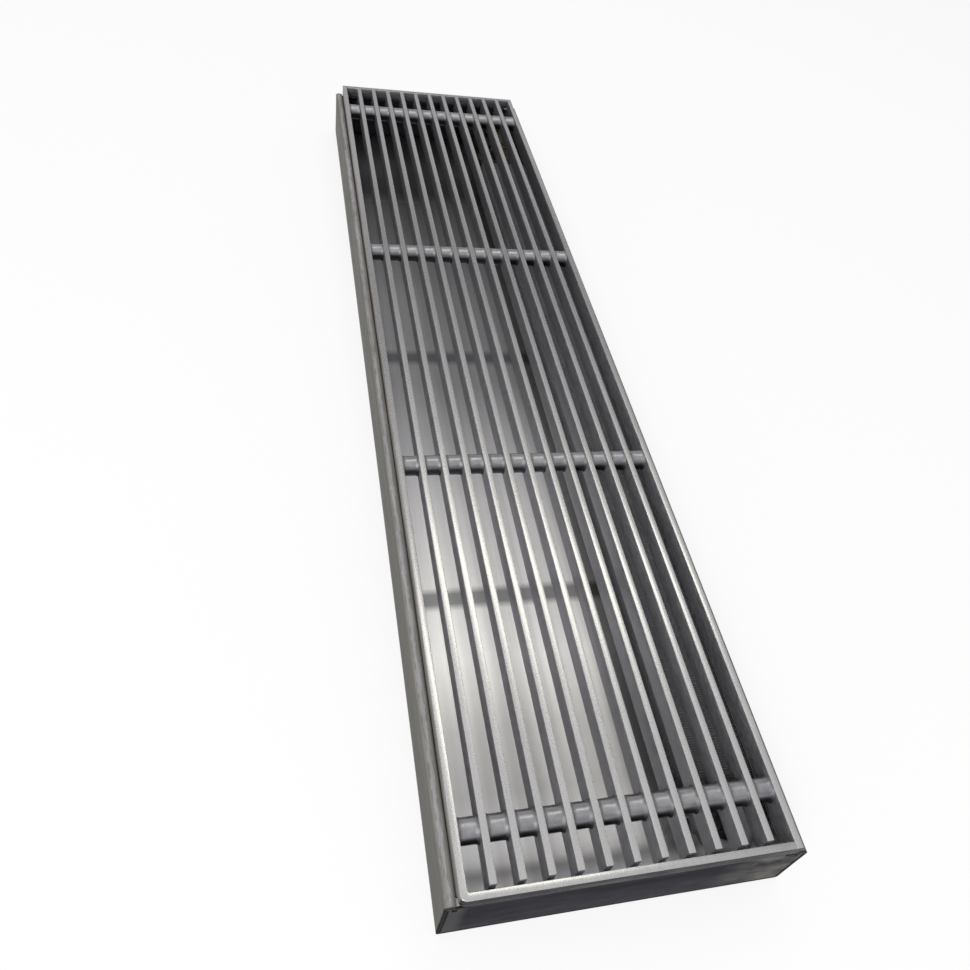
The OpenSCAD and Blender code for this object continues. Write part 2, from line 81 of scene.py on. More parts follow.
def makeCamera(values):
    lens = bpy.data.cameras.new("photoCamera")
    side = values["imageSide"]
    lens.sensor_width = values["sensor"]
    lens.lens = values["focalPixels"] / side * values["sensor"]
    lens.shift_x = -(values["centreRight"] - side / 2) / side
    lens.shift_y = (values["centreDown"] - side / 2) / side
    lens.clip_start = values["near"]
    lens.clip_end = values["far"]
    camera = addObject("photoCamera", lens)
    camera.location = values["place"]
    camera.rotation_euler = Euler([math.radians(a) for a in values["turn"]], "XYZ")
    bpy.context.scene.camera = camera


makeCamera(cameraValues)
print("camera placed")


# Node helpers: every value is a plain one or the socket that it comes from
def setInput(tree, socket, value):
    if isinstance(value, bpy.types.NodeSocket):
        tree.links.new(value, socket)
    else:
        socket.default_value = value


def addNode(tree, kind, inputs=None, **settings):
    node = tree.nodes.new(kind)
    for key, value in settings.items():
        setattr(node, key, value)
    for key, value in (inputs or {}).items():
        setInput(tree, node.inputs[key], value)
    return node


def socketOf(tree, kind, inputs=None, output=0, **settings):
    return addNode(tree, kind, inputs, **settings).outputs[output]


def mathNode(tree, operation, first, second=None, clamp=False):
    inputs = {0: first} if second is None else {0: first, 1: second}
    return socketOf(tree, "ShaderNodeMath", inputs, operation=operation, use_clamp=clamp)


def times(tree, first, *others, clamp=False):
    for other in others:
        first = mathNode(tree, "MULTIPLY", first, other, clamp)
    return first


# The first by its share, and the second by what is left of it
def weighted(tree, first, second, share=0.5):
    return mathNode(tree, "ADD", times(tree, first, share), times(tree, second, 1.0 - share))


def dotWith(tree, first, second):
    return socketOf(tree, "ShaderNodeVectorMath", {0: first, 1: second}, "Value", operation="DOT_PRODUCT")


def mapRange(tree, value, fromLow, fromHigh, toLow=0.0, toHigh=1.0):
    inputs = {"Value": value, "From Min": fromLow, "From Max": fromHigh, "To Min": toLow, "To Max": toHigh}
    return socketOf(tree, "ShaderNodeMapRange", inputs, clamp=True)


def between(tree, share, low, high):
    return mapRange(tree, share, 0.0, 1.0, low, high)


def blendValue(tree, share, first, second):
    return socketOf(tree, "ShaderNodeMix", {0: share, 2: first, 3: second}, data_type="FLOAT")


def mixColour(tree, share, first, second, blend="MIX"):
    first, second = (v if isinstance(v, bpy.types.NodeSocket) else (*v, 1.0) for v in (first, second))
    return socketOf(
        tree, "ShaderNodeMix", {0: share, 6: first, 7: second}, 2, data_type="RGBA", blend_type=blend
    )


def greyRamp(tree, value, stops):
    ramp = addNode(tree, "ShaderNodeValToRGB", {0: value})
    elements = ramp.color_ramp.elements
    while len(elements) < len(stops):
        elements.new(0.5)
    for element, (position, light) in zip(elements, stops):
        element.position = position
        element.color = (light, light, light, 1.0)
    return ramp.outputs["Color"]


def objectPlace(tree):
    return socketOf(tree, "ShaderNodeTexCoord", output="Object")


def placeParts(tree):
    return addNode(tree, "ShaderNodeSeparateXYZ", {0: objectPlace(tree)}).outputs


def stretched(tree, scale, shift=(0.0, 0.0, 0.0)):
    inputs = {"Vector": objectPlace(tree), "Location": shift, "Scale": scale}
    return socketOf(tree, "ShaderNodeMapping", inputs)


def noiseAt(tree, place, detail, roughness=0.5, scale=1.0):
    inputs = {"Vector": place, "Scale": scale, "Detail": detail, "Roughness": roughness}
    return socketOf(tree, "ShaderNodeTexNoise", inputs, "Fac")


socketKinds = {int: "Int", float: "Float", tuple: "Vector", type(None): "Material"}
outputKinds = {"Mask": "Float", "Normal": "Vector", "Geometry": "Geometry"}


# A node tree with named inputs, each of the kind that its first value has
def newTree(name, inputs, outputs=("Mask",), kind="ShaderNodeTree"):
    tree = bpy.data.node_groups.new(name, kind)
    if kind == "GeometryNodeTree":
        tree.interface.new_socket("Geometry", in_out="INPUT", socket_type="NodeSocketGeometry")
    for label, value in inputs.items():
        socketKind = "NodeSocket" + socketKinds[type(value)]
        socket = tree.interface.new_socket(label, in_out="INPUT", socket_type=socketKind)
        if value is not None:
            socket.default_value = value
    for label in outputs:
        tree.interface.new_socket(label, in_out="OUTPUT", socket_type="NodeSocket" + outputKinds[label])
    return tree, tree.nodes.new("NodeGroupInput").outputs, tree.nodes.new("NodeGroupOutput").inputs


def useGroup(tree, group, **inputs):
    node = addNode(tree, "ShaderNodeGroup", node_tree=group)
    for key, value in inputs.items():
        setInput(tree, node.inputs[key.replace("_", " ")], value)
    return node.outputs


def maskOf(tree, group, **inputs):
    return useGroup(tree, group, **inputs)["Mask"]


def masksOf(tree, group, values, *keys):
    return [maskOf(tree, group, **values[key]) for key in keys]


patternValues = {
    "grainDetail": 3.0, "speckleDetail": 2.0, "grainRough": 0.6, "grainSpan": (0.28, 0.72), "bevelSamples": 6,
    "scratchDetail": 3.0, "scratchRough": 0.7, "patchScale": 22.0, "patchDetail": 2.0,
    "patchSpan": (0.5, 0.62), "stripeDetail": 5.0, "stripeRough": 0.65, "stripeReach": 4.0,
}


# Clouds: a soft patchy mask, stretched by its scale along each axis
def makeClouds():
    tree, start, end = newTree("clouds", {
        "Scale": (10.0, 10.0, 10.0), "Shift": (0.0, 0.0, 0.0), "Detail": 4.0, "Roughness": 0.55,
        "Low": 0.3, "High": 0.7,
    })
    place = stretched(tree, start["Scale"], start["Shift"])
    noise = noiseAt(tree, place, start["Detail"], start["Roughness"])
    tree.links.new(mapRange(tree, noise, start["Low"], start["High"]), end["Mask"])
    return tree


# Grain: the fine lines that a brush or a rolling mill leaves, crossed with a finer speckle
def makeGrain(values):
    inputs = {"Lines": (1500.0, 12.0, 1500.0), "Speckle": 900.0, "Speckle Share": 0.3}
    tree, start, end = newTree("grain", inputs)
    lines = noiseAt(tree, stretched(tree, start["Lines"]), values["grainDetail"], values["grainRough"])
    speckle = noiseAt(
        tree, objectPlace(tree), values["speckleDetail"], values["grainRough"], start["Speckle"]
    )
    both = blendValue(tree, start["Speckle Share"], lines, speckle)
    tree.links.new(mapRange(tree, both, *values["grainSpan"]), end["Mask"])
    return tree


# Rubbed edges: where the surface turns within a small radius, and the rounded normal there
def makeEdgeRub(values):
    tree, start, end = newTree("rubbedEdges", {"Radius": 0.0006, "Gain": 4.0}, ("Mask", "Normal"))
    rounded = socketOf(tree, "ShaderNodeBevel", {"Radius": start["Radius"]}, samples=values["bevelSamples"])
    flat = socketOf(tree, "ShaderNodeNewGeometry", output="Normal")
    turned = mathNode(tree, "SUBTRACT", 1.0, dotWith(tree, rounded, flat))
    tree.links.new(times(tree, turned, start["Gain"], clamp=True), end["Mask"])
    tree.links.new(rounded, end["Normal"])
    return tree


# Scratches: thin long lines where a stretched noise passes its middle, in patches
def makeScratches(values):
    tree, start, end = newTree("scratches", {"Scale": (60.0, 6.0, 60.0), "Width": 0.006, "Amount": 0.5})
    noise = noiseAt(tree, stretched(tree, start["Scale"]), values["scratchDetail"], values["scratchRough"])
    away = mathNode(tree, "ABSOLUTE", mathNode(tree, "SUBTRACT", noise, 0.5))
    line = mapRange(tree, away, 0.0, start["Width"], 1.0, 0.0)
    gate = noiseAt(tree, objectPlace(tree), values["patchDetail"], scale=values["patchScale"])
    both = times(tree, line, mapRange(tree, gate, *values["patchSpan"]))
    tree.links.new(times(tree, both, start["Amount"], clamp=True), end["Mask"])
    return tree


# Facing: how far a face looks along one axis of the piece
def makeFacing():
    tree, start, end = newTree("facing", {"Axis": (0.0, 0.0, 1.0), "From": 0.6, "To": 0.95})
    normal = socketOf(tree, "ShaderNodeTexCoord", output="Normal")
    looks = mapRange(tree, dotWith(tree, normal, start["Axis"]), start["From"], start["To"])
    tree.links.new(looks, end["Mask"])
    return tree


# Zone: a soft-edged slab between two places along one axis, on both sides of the middle if mirrored
def makeZone():
    tree, start, end = newTree(
        "zone", {"Axis": (0.0, 0.0, 1.0), "Low": 0.0, "High": 1.0, "Softness": 0.001, "Mirrored": 0.0}
    )
    plain = dotWith(tree, objectPlace(tree), start["Axis"])
    along = blendValue(tree, start["Mirrored"], plain, mathNode(tree, "ABSOLUTE", plain))
    inside = []
    for more, less in ((along, start["Low"]), (start["High"], along)):
        past = mathNode(tree, "DIVIDE", mathNode(tree, "SUBTRACT", more, less), start["Softness"])
        inside.append(mathNode(tree, "ADD", past, 0.5, clamp=True))
    tree.links.new(times(tree, *inside), end["Mask"])
    return tree


# Ragged stripe: a band at one distance from the middle, that wanders as a brush mark does
def makeRaggedStripe(values):
    tree, start, end = newTree("raggedStripe", {
        "Axis": (1.0, 0.0, 0.0), "Scale": (300.0, 60.0, 300.0), "Middle": 0.1, "Half": 0.001, "Wander": 0.001,
        "Softness": 0.001,
    })
    noise = noiseAt(tree, stretched(tree, start["Scale"]), values["stripeDetail"], values["stripeRough"])
    shift = times(tree, mathNode(tree, "SUBTRACT", noise, 0.5), start["Wander"], values["stripeReach"])
    out = mathNode(tree, "ABSOLUTE", dotWith(tree, objectPlace(tree), start["Axis"]))
    along = mathNode(tree, "ADD", out, shift)
    away = mathNode(tree, "ABSOLUTE", mathNode(tree, "SUBTRACT", along, start["Middle"]))
    outer = mathNode(tree, "ADD", start["Half"], start["Softness"])
    tree.links.new(mapRange(tree, away, start["Half"], outer, 1.0, 0.0), end["Mask"])
    return tree


clouds = makeClouds()
grain = makeGrain(patternValues)
edgeRub = makeEdgeRub(patternValues)
scratches = makeScratches(patternValues)
facing = makeFacing()
zone = makeZone()
raggedStripe = makeRaggedStripe(patternValues)
print("node groups built")


def newMaterial(name, **shaderValues):
    material = bpy.data.materials.new(name)
    material.use_nodes = True
    tree = material.node_tree
    for key, value in shaderValues.items():
        tree.nodes["Principled BSDF"].inputs[key.replace("_", " ")].default_value = value
    return material, tree


def feed(material, values):
    tree = material.node_tree
    for label, value in values.items():
        tree.links.new(value, tree.nodes["Principled BSDF"].inputs[label])
    return material


def bump(tree, height, strength, distance, normal):
    inputs = {"Height": height, "Strength": strength, "Distance": distance, "Normal": normal}
    return socketOf(tree, "ShaderNodeBump", inputs)


# Flat bar steel: ground bright on top, dull and darker on the sides, with painted shade that darkens the
# sides towards the far end and the near ends' front faces
barSteelValues = {
    "topDark": (0.445, 0.445, 0.437), "topLight": (0.60, 0.595, 0.58), "sideDark": (0.52, 0.515, 0.535),
    "sideLight": (0.82, 0.815, 0.835), "sideFarShade": (0.30, 0.297, 0.315), "farShadeFrom": (-0.05, 0.30),
    "farShadeShare": 0.85, "frontShadeDark": (0.062, 0.061, 0.066), "frontShadeLight": (0.15, 0.15, 0.142),
    "flankDark": (0.22, 0.21, 0.195), "flankLight": (0.34, 0.33, 0.305), "flankMetal": 0.3,
    "flankFrom": 0.1100, "frontFrom": 0.5095, "fromSoftness": 0.0004, "edge": (0.66, 0.655, 0.64),
    "edgeShare": 0.7, "grazing": (0.55, 0.55, 0.56, 1.0), "topRough": (0.24, 0.32),
    "sideRough": (0.40, 0.55), "lineShare": 0.6, "pieceShare": 0.18, "bump": (0.35, 0.000005),
    "lines": {"Lines": (560.0, 60.0, 560.0), "Speckle": 880.0, "Speckle_Share": 0.6},
    "cloud": {"Scale": (70.0, 9.0, 70.0)},
    "fine": {"Scale": (420.0, 160.0, 420.0)},
    "stain": {"Scale": (26.0, 26.0, 90.0), "Detail": 5.0, "Low": 0.4, "High": 0.72},
    "mark": {"Scale": (140.0, 10.0, 140.0), "Width": 0.008, "Amount": 0.5},
    "rub": {"Radius": 0.0006, "Gain": 3.0},
    "top": {"From": 0.7, "To": 0.95},
    "outward": {"From": 0.3, "To": 0.65},
}


def makeBarSteel(values):
    material, tree = newMaterial("barSteel", Specular_Tint=values["grazing"])
    lines = maskOf(tree, grain, **values["lines"])
    cloud, fine, stain = masksOf(tree, clouds, values, "cloud", "fine", "stain")
    mark = maskOf(tree, scratches, **values["mark"])
    top = maskOf(tree, facing, **values["top"])
    rub = useGroup(tree, edgeRub, **values["rub"])
    outward = []
    for axis, start in (
        ((0.0, -1.0, 0.0), values["frontFrom"]),
        ((-1.0, 0.0, 0.0), values["flankFrom"]),
        ((1.0, 0.0, 0.0), values["flankFrom"]),
    ):
        looks = maskOf(tree, facing, Axis=axis, **values["outward"])
        lies = maskOf(tree, zone, Axis=axis, Low=start, Softness=values["fromSoftness"])
        outward.append(times(tree, looks, lies))
    front, flank = outward[0], mathNode(tree, "MAXIMUM", outward[1], outward[2])
    mixed = weighted(tree, lines, cloud, values["lineShare"])
    topColour = mixColour(tree, mixed, values["topDark"], values["topLight"])
    side = mixColour(tree, weighted(tree, cloud, fine), values["sideDark"], values["sideLight"])
    # painted shade: the bars' sides darken towards the far end
    farShade = mapRange(tree, placeParts(tree)["Y"], *values["farShadeFrom"], 0.0, values["farShadeShare"])
    side = mixColour(tree, farShade, side, values["sideFarShade"])
    side = mixColour(tree, flank, side, mixColour(tree, stain, values["flankDark"], values["flankLight"]))
    # painted shade: the front faces at the near end are dark
    side = mixColour(tree, front, side, mixColour(tree, stain, values["frontShadeDark"], values["frontShadeLight"]))
    colour = mixColour(tree, top, side, topColour)
    piece = socketOf(tree, "ShaderNodeAttribute", output="Fac", attribute_name="pieceShade")
    colour = mixColour(tree, between(tree, piece, 0.0, values["pieceShare"]), colour, values["topDark"])
    colour = mixColour(tree, times(tree, rub["Mask"], top, values["edgeShare"]), colour, values["edge"])
    colour = mixColour(tree, times(tree, mark, top), colour, values["edge"])
    flankOnly = times(tree, flank, mathNode(tree, "SUBTRACT", 1.0, front))
    sideRough = between(tree, fine, *values["sideRough"])
    return feed(material, {
        "Base Color": colour,
        "Metallic": between(tree, flankOnly, 1.0, values["flankMetal"]),
        "Roughness": blendValue(tree, top, sideRough, between(tree, lines, *values["topRough"])),
        "Normal": bump(tree, lines, *values["bump"], rub["Normal"]),
    })


# Round spacers: satin tube, less glossy and darker at the welds, partly as painted shade where they meet the
# bars, with painted shade on the low near side
rodSteelValues = {
    "dark": (0.24, 0.239, 0.246), "light": (0.42, 0.417, 0.426), "weldAndShadeDark": (0.16, 0.159, 0.165),
    "weldAndShadeLight": (0.25, 0.248, 0.253), "under": (0.065, 0.064, 0.070), "rough": (0.29, 0.40),
    "beadRough": 0.60, "lineBump": (0.3, 0.00004), "beadBump": (0.35, 0.00008),
    "lines": {"Lines": (60.0, 1200.0, 1200.0), "Speckle": 800.0, "Speckle_Share": 0.5},
    "cloud": {"Scale": (120.0, 160.0, 160.0)},
    "fine": {"Scale": (500.0, 500.0, 500.0), "Detail": 5.0},
    "rub": {"Radius": 0.0005, "Gain": 2.0},
    "low": {"Axis": (0.0, -0.94, -0.34), "From": 0.40, "To": 0.92},
    "lowest": {"Axis": (0.0, 0.0, -1.0), "From": 0.5, "To": 0.8},
}


def makeRodSteel(values):
    material, tree = newMaterial("rodSteel", Metallic=1.0)
    lines = maskOf(tree, grain, **values["lines"])
    cloud, fine = masksOf(tree, clouds, values, "cloud", "fine")
    low, lowest = masksOf(tree, facing, values, "low", "lowest")
    rub = useGroup(tree, edgeRub, **values["rub"])
    bead = socketOf(tree, "ShaderNodeAttribute", output="Fac", attribute_name="weldBead")
    barrel = mixColour(tree, weighted(tree, lines, cloud), values["dark"], values["light"])
    # the welds' own darker colour, with painted shade where the spacers meet the bars
    colour = mixColour(tree, bead, barrel, mixColour(tree, fine, values["weldAndShadeDark"], values["weldAndShadeLight"]))
    # painted shade on the low near side of each spacer
    below = mathNode(tree, "SUBTRACT", low, lowest)
    beadNormal = bump(tree, fine, *values["beadBump"], rub["Normal"])
    return feed(material, {
        "Base Color": mixColour(tree, below, colour, values["under"]),
        "Roughness": blendValue(tree, bead, between(tree, cloud, *values["rough"]), values["beadRough"]),
        "Normal": bump(tree, lines, *values["lineBump"], beadNormal),
    })


# Tray sheet: smooth inside, dull brownish grey outside, marked and mottled on the rims
traySteelValues = {
    "floorDark": (0.76, 0.76, 0.765), "floorLight": (0.92, 0.915, 0.905), "drawnColour": (0.52, 0.515, 0.525),
    "drawnShare": 0.35,
    # painted shade along the floor: its colour is multiplied by this ramp by place along it, darkest towards
    # the far end
    "paintedFloorShade": (
        (-0.48, 1.0), (-0.43, 0.60), (-0.38, 0.64), (-0.32, 1.0), (-0.16, 1.0), (0.0, 0.56), (0.14, 0.56),
        (0.27, 0.38), (0.33, 0.30), (0.365, 0.16), (0.5, 0.5),
    ),
    "paintedFloorShadeSpan": (-0.5, 0.5),
    # painted shadows of the spacer rows as dark bands across the floor, and two thin lines of painted light
    # near the far end
    "paintedShadowAndLightBands": (
        (-0.262, 0.0085, 0.007, 0.80, (0.12, 0.12, 0.13)),
        (0.0425, 0.0085, 0.009, 0.76, (0.12, 0.12, 0.13)),
        (-0.4845, 0.0035, 0.006, 0.45, (0.12, 0.12, 0.13)),
        (0.3435, 0.0008, 0.0015, 0.30, (0.45, 0.45, 0.46)),
        (0.4560, 0.0008, 0.0015, 0.22, (0.45, 0.45, 0.46)),
    ),
    "wallDark": (0.17, 0.165, 0.15), "wallLight": (0.26, 0.25, 0.23), "rimDark": (0.17, 0.163, 0.146),
    "rimLight": (0.25, 0.243, 0.224), "rightRimShade": 0.45, "middle": (-0.01, 0.01),
    "streakColour": (0.38, 0.374, 0.395), "streakLeast": 0.3, "rimDarkLineColour": (0.17, 0.155, 0.135),
    "seamColour": (0.03, 0.03, 0.032), "grazing": (0.42, 0.42, 0.42, 1.0), "floorRough": (0.29, 0.36),
    "wallRough": (0.38, 0.50), "rimRough": 0.72, "rimMetal": 0.10, "lineShare": 0.3,
    "waveBump": (0.25, 0.0006), "rimBump": (0.5, 0.0002), "lineBump": (0.12, 0.00002),
    "lines": {"Lines": (420.0, 4.0, 420.0), "Speckle": 500.0, "Speckle_Share": 0.35},
    "cloud": {"Scale": (16.0, 5.0, 30.0)},
    "blotch": {"Scale": (160.0, 45.0, 160.0), "Detail": 6.0, "Roughness": 0.65, "Low": 0.42, "High": 0.6},
    "smear": {"Scale": (190.0, 12.0, 60.0), "Shift": (3.0, 1.0, 0.0), "Low": 0.35, "High": 0.65},
    "drawn": {"Scale": (170.0, 1.6, 40.0), "Shift": (0.0, 5.0, 0.0), "Low": 0.35, "High": 0.65},
    "wave": {"Scale": (14.0, 5.0, 14.0), "Detail": 1.0, "Low": 0.2, "High": 0.8},
    "outer": {"Axis": (1.0, 0.0, 0.0), "Low": 0.1222, "High": 0.2, "Softness": 0.0004, "Mirrored": 1.0},
    "rim": {"Low": 0.0530, "High": 0.2, "Softness": 0.0012},
    "seam": {"Axis": (0.0, 1.0, 0.0), "Low": 0.5137, "High": 0.6, "Mirrored": 1.0},
    "flat": {"Low": -1.0, "High": 0.004, "Softness": 0.002},
    "streak": {
        "Scale": (520.0, 90.0, 520.0), "Middle": 0.1200, "Half": 0.0010, "Wander": 0.0017, "Softness": 0.0006,
    },
    "rimDarkLine": {
        "Scale": (300.0, 35.0, 300.0), "Middle": 0.1160, "Half": 0.0004, "Wander": 0.0006, "Softness": 0.0009,
    },
    "rub": {"Radius": 0.0008, "Gain": 2.0},
}


# The floor's colour: drawn lines, painted shade that darkens it by place along its length, most towards the
# far end, and painted bands across it
def floorColour(tree, values, mixed, along):
    colour = mixColour(tree, mixed, values["floorDark"], values["floorLight"])
    drawn = times(tree, maskOf(tree, clouds, **values["drawn"]), values["drawnShare"])
    colour = mixColour(tree, drawn, colour, values["drawnColour"])
    # painted shade along the floor's length
    start, stop = values["paintedFloorShadeSpan"]
    stops = [((y - start) / (stop - start), share) for y, share in values["paintedFloorShade"]]
    paintedFloorShade = greyRamp(tree, mapRange(tree, along, start, stop), stops)
    colour = mixColour(tree, 1.0, colour, paintedFloorShade, "MULTIPLY")
    flat = maskOf(tree, zone, **values["flat"])
    # each band paints shadow or light across the floor
    for middle, half, softness, share, paintedBandColour in values["paintedShadowAndLightBands"]:
        band = maskOf(
            tree, zone, Axis=(0.0, 1.0, 0.0), Low=middle - half, High=middle + half, Softness=softness
        )
        colour = mixColour(tree, times(tree, band, flat, share), colour, paintedBandColour)
    return colour


def makeTraySteel(values):
    material, tree = newMaterial("traySteel", Specular_Tint=values["grazing"])
    lines = maskOf(tree, grain, **values["lines"])
    cloud, blotch, smear, wave = masksOf(tree, clouds, values, "cloud", "blotch", "smear", "wave")
    outer, rim, seam = masksOf(tree, zone, values, "outer", "rim", "seam")
    streak, rimDarkLine = masksOf(tree, raggedStripe, values, "streak", "rimDarkLine")
    rub = useGroup(tree, edgeRub, **values["rub"])
    place = placeParts(tree)
    mixed = weighted(tree, lines, cloud, values["lineShare"])
    wall = mixColour(tree, mixed, values["wallDark"], values["wallLight"])
    broken = times(tree, streak, between(tree, smear, values["streakLeast"], 1.0))
    rimColour = mixColour(tree, weighted(tree, blotch, smear), values["rimDark"], values["rimLight"])
    rimColour = mixColour(tree, broken, rimColour, values["streakColour"])
    # a dark ragged line along the rim beside the grate's frame
    rimColour = mixColour(tree, rimDarkLine, rimColour, values["rimDarkLineColour"])
    # painted shade: the rim on the right side is darker
    side = mapRange(tree, place["X"], *values["middle"], 1.0, values["rightRimShade"])
    grey = socketOf(tree, "ShaderNodeCombineColor", {0: side, 1: side, 2: side})
    rimColour = mixColour(tree, 1.0, rimColour, grey, "MULTIPLY")
    colour = mixColour(tree, outer, floorColour(tree, values, mixed, place["Y"]), wall)
    colour = mixColour(tree, rim, colour, rimColour)
    inRough = between(tree, mixed, *values["floorRough"])
    outRough = between(tree, blotch, *values["wallRough"])
    normal = bump(tree, wave, *values["waveBump"], rub["Normal"])
    rough = times(tree, rim, mathNode(tree, "ADD", blotch, broken))
    normal = bump(tree, rough, *values["rimBump"], normal)
    return feed(material, {
        "Base Color": mixColour(tree, seam, colour, values["seamColour"]),
        "Metallic": between(tree, rim, 1.0, values["rimMetal"]),
        "Roughness": blendValue(tree, rim, blendValue(tree, outer, inRough, outRough), values["rimRough"]),
        "Normal": bump(tree, lines, *values["lineBump"], normal),
    })


# End plates: dark bluish sheet, its dark tone painted shade, with painted shade on its top face and foot,
# dark side seams, level smears and one pale rusty stain
plateSteelValues = {
    "dark": (0.041, 0.040, 0.045), "light": (0.086, 0.084, 0.092), "warm": (0.26, 0.252, 0.218),
    "warmFrom": (0.062, 0.098), "rubShare": 0.35, "endLight": (0.15, 0.147, 0.142), "endFrom": (0.108, 0.114),
    "endShare": 0.7, "topShadeShare": 0.85, "seamColour": (0.024, 0.024, 0.025), "rough": (0.40, 0.54),
    "grazing": (0.36, 0.36, 0.375, 1.0), "bump": (0.4, 0.00006),
    "lines": {"Lines": (90.0, 900.0, 900.0), "Speckle": 600.0, "Speckle_Share": 0.65},
    "smear": {"Scale": (18.0, 40.0, 130.0), "Detail": 5.0},
    "blotch": {"Scale": (60.0, 60.0, 90.0), "Detail": 5.0, "Low": 0.35, "High": 0.7},
    "rub": {"Radius": 0.0006, "Gain": 2.5},
    "seam": {"Axis": (1.0, 0.0, 0.0), "Low": 0.1204, "Softness": 0.0012, "Mirrored": 1.0},
    "foot": {"Low": -1.0, "High": 0.0032},
    "top": {"From": 0.6, "To": 0.9},
}


def makePlateSteel(values):
    material, tree = newMaterial("plateSteel", Metallic=1.0, Specular_Tint=values["grazing"])
    smear, blotch = masksOf(tree, clouds, values, "smear", "blotch")
    seam, foot = masksOf(tree, zone, values, "seam", "foot")
    top = times(tree, maskOf(tree, facing, **values["top"]), values["topShadeShare"])
    rub = useGroup(tree, edgeRub, **values["rub"])
    across = placeParts(tree)["X"]
    mixed = weighted(tree, smear, maskOf(tree, grain, **values["lines"]))
    # painted shade: the plate's dark tone
    colour = mixColour(tree, mixed, values["dark"], values["light"])
    warm = times(tree, mapRange(tree, across, *values["warmFrom"]), blotch)
    colour = mixColour(tree, warm, colour, values["warm"])
    ends = mapRange(tree, times(tree, across, -1.0), *values["endFrom"])
    colour = mixColour(tree, times(tree, ends, values["endShare"]), colour, values["endLight"])
    colour = mixColour(tree, times(tree, rub["Mask"], values["rubShare"]), colour, values["warm"])
    # dark seams at the sides, and painted shade: the top face under the grate's frame and a line along the
    # foot
    seamAndShade = mathNode(tree, "MAXIMUM", mathNode(tree, "MAXIMUM", seam, foot), top)
    return feed(material, {
        "Base Color": mixColour(tree, seamAndShade, colour, values["seamColour"]),
        "Roughness": between(tree, blotch, *values["rough"]),
        "Normal": bump(tree, mixed, *values["bump"], rub["Normal"]),
    })


# Plain fittings: zinc, brass, coil coating, rubber and the knob's plastic
fittingValues = {
    "zinc_steel": {
        "name": "zincSteel", "dark": (0.30, 0.30, 0.31), "light": (0.48, 0.48, 0.49), "rough": (0.35, 0.5),
        "metal": 1.0, "scale": (90.0, 90.0, 90.0), "speckle": 600.0, "radius": 0.0004, "height": 0.00006,
    },
    "brass": {
        "name": "brass", "dark": (0.17, 0.146, 0.105), "light": (0.29, 0.252, 0.18), "rough": (0.36, 0.52),
        "metal": 1.0, "scale": (60.0, 60.0, 60.0), "speckle": 500.0, "radius": 0.0006, "height": 0.00006,
    },
    "coil_coating": {
        "name": "coilCoating", "dark": (0.24, 0.24, 0.25), "light": (0.34, 0.34, 0.352), "rough": (0.5, 0.65),
        "metal": 0.0, "scale": (40.0, 40.0, 40.0), "speckle": 900.0, "radius": 0.0002, "height": 0.00004,
    },
    "rubber": {
        "name": "rubber", "dark": (0.012, 0.012, 0.012), "light": (0.028, 0.028, 0.027), "rough": (0.6, 0.8),
        "metal": 0.0, "scale": (50.0, 20.0, 50.0), "speckle": 1200.0, "radius": 0.0003, "height": 0.00008,
    },
    "knob_plastic": {
        "name": "knobPlastic", "dark": (0.018, 0.018, 0.020), "light": (0.035, 0.035, 0.038),
        "rough": (0.38, 0.5), "metal": 0.0, "scale": (80.0, 80.0, 80.0), "speckle": 1500.0,
        "radius": 0.0006, "height": 0.00005,
    },
}
fittingWear = {
    "cloudShare": 0.7, "cloudDetail": 5.0, "speckleShare": 0.8, "gain": 2.0, "brighter": 1.5, "bump": 0.4,
}


def makeFitting(values, wear):
    material, tree = newMaterial(values["name"], Metallic=values["metal"])
    cloud = maskOf(tree, clouds, Scale=values["scale"], Detail=wear["cloudDetail"])
    fine = maskOf(
        tree, grain, Lines=values["scale"], Speckle=values["speckle"], Speckle_Share=wear["speckleShare"]
    )
    rub = useGroup(tree, edgeRub, Radius=values["radius"], Gain=wear["gain"])
    mixed = weighted(tree, cloud, fine, wear["cloudShare"])
    colour = mixColour(tree, mixed, values["dark"], values["light"])
    bright = tuple(min(1.0, wear["brighter"] * c) for c in values["light"])
    return feed(material, {
        "Base Color": mixColour(tree, rub["Mask"], colour, bright),
        "Roughness": between(tree, cloud, *values["rough"]),
        "Normal": bump(tree, fine, wear["bump"], values["height"], rub["Normal"]),
    })


finishes = {
    "tray_steel": makeTraySteel(traySteelValues),
    "plate_steel": makePlateSteel(plateSteelValues),
    "grate_steel": makeBarSteel(barSteelValues),
    "rod_steel": makeRodSteel(rodSteelValues),
    **{slotName: makeFitting(values, fittingWear) for slotName, values in fittingValues.items()},
}
print("materials built")

for row in frame["record"]["subparts"]:
    slots = nodes[row["node"]].data.materials
    slots.clear()
    slots.append(finishes[row["material_slot"]])
print("finishes given to the nodes")


# Mesh helpers
def newObject(name, mesh, body, slotName):
    obj = addObject(name, mesh)
    obj["planBody"] = body
    obj["planSlot"] = slotName
    return obj


def arcPoints(centre, radius, start, stop, steps):
    turns = [math.radians(start + (stop - start) * i / steps) for i in range(steps + 1)]
    return [(centre[0] + radius * math.cos(t), centre[1] + radius * math.sin(t)) for t in turns]


def bevelAll(shape, width, steps, sharpAngle=30.0):
    limit = math.radians(sharpAngle)
    edges = [e for e in shape.edges if len(e.link_faces) == 2 and e.calc_face_angle(0.0) > limit]
    bmesh.ops.bevel(
        shape, geom=edges, offset=width, offset_type="OFFSET", segments=steps, profile=0.6,
        affect="EDGES", clamp_overlap=True,
    )


def dissolveFlat(shape, degrees):
    bmesh.ops.dissolve_limit(
        shape, angle_limit=math.radians(degrees), verts=shape.verts, edges=shape.edges, delimit={"NORMAL"}
    )


